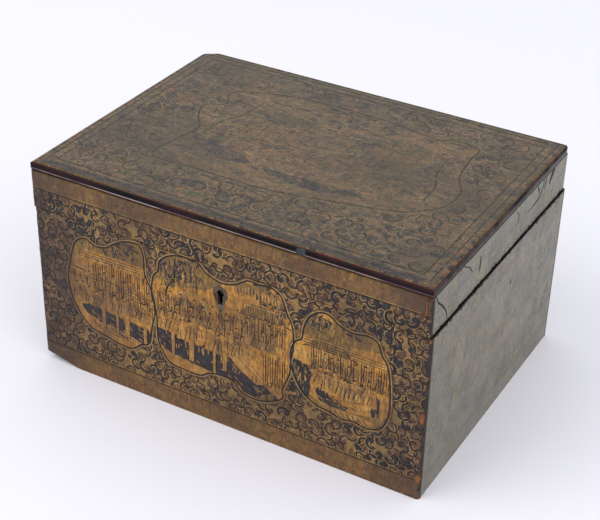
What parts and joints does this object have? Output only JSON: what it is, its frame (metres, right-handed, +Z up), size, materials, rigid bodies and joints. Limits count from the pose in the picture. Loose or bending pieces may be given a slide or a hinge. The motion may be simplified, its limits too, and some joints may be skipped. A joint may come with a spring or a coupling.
{
  "type": "deed box",
  "caption": "Rectangular lacquered wooden box with a shallow hinged lid, a bead round the lid's top edge, stop hinges at the back and a box lock in the front wall.",
  "frame": {"origin": "middle of the body's underside, on the surface that the box stands on", "axes": "+Z up, +X to the right along the width with the front seen, +Y from the front to the back where the hinges are"},
  "size_m": [0.3662, 0.2738, 0.1943],
  "materials": {
    "gilt_lacquer": "gilt decoration on worn black-brown lacquer",
    "black_lacquer": "aged satin black lacquer",
    "bamboo": "bare split bamboo",
    "brass": "tarnished",
    "steel": "dark spring steel",
    "dark_metal": "dull, almost black patina"
  },
  "bodies": {
    "body": {"front_board": "gilt_lacquer", "back_board": "black_lacquer", "left_board": "black_lacquer", "right_board": "black_lacquer", "bottom_board": "black_lacquer", "body_corner_pins": "bamboo", "bottom_pins": "bamboo", "left_hinge_body_leaf": "brass", "left_hinge_pin": "brass", "right_hinge_body_leaf": "brass", "right_hinge_pin": "brass", "hinge_body_screws": "brass", "lock_case": "brass", "lock_cap": "brass", "lock_spring": "steel", "drill_pin": "steel", "lock_cap_screws": "brass", "lock_screws": "brass", "key_escutcheon": "dark_metal"},
    "lid": {"lid_panel": "black_lacquer", "lid_front_rail": "gilt_lacquer", "lid_back_rail": "black_lacquer", "lid_left_rail": "black_lacquer", "lid_right_rail": "black_lacquer", "bead_front": "black_lacquer", "bead_back": "black_lacquer", "bead_left": "black_lacquer", "bead_right": "black_lacquer", "lid_corner_pins": "bamboo", "lid_panel_pins": "bamboo", "left_hinge_lid_leaf": "brass", "right_hinge_lid_leaf": "brass", "hinge_lid_screws": "brass", "link_plate": "brass", "left_link": "brass", "right_link": "brass", "link_screws": "brass"},
    "bolt": {"lock_bolt": "brass"}
  },
  "joints": [
    {"name": "lid_hinge", "type": "hinge", "parent": "body", "child": "lid", "pos_m": [0, 0.1365, 0.15265], "axis": [-1, 0, 0], "range_deg": [0, 100]},
    {"name": "bolt_slide", "type": "slide", "parent": "body", "child": "bolt", "axis": [1, 0, 0], "range_m": [0, 0.005]}
  ]
}
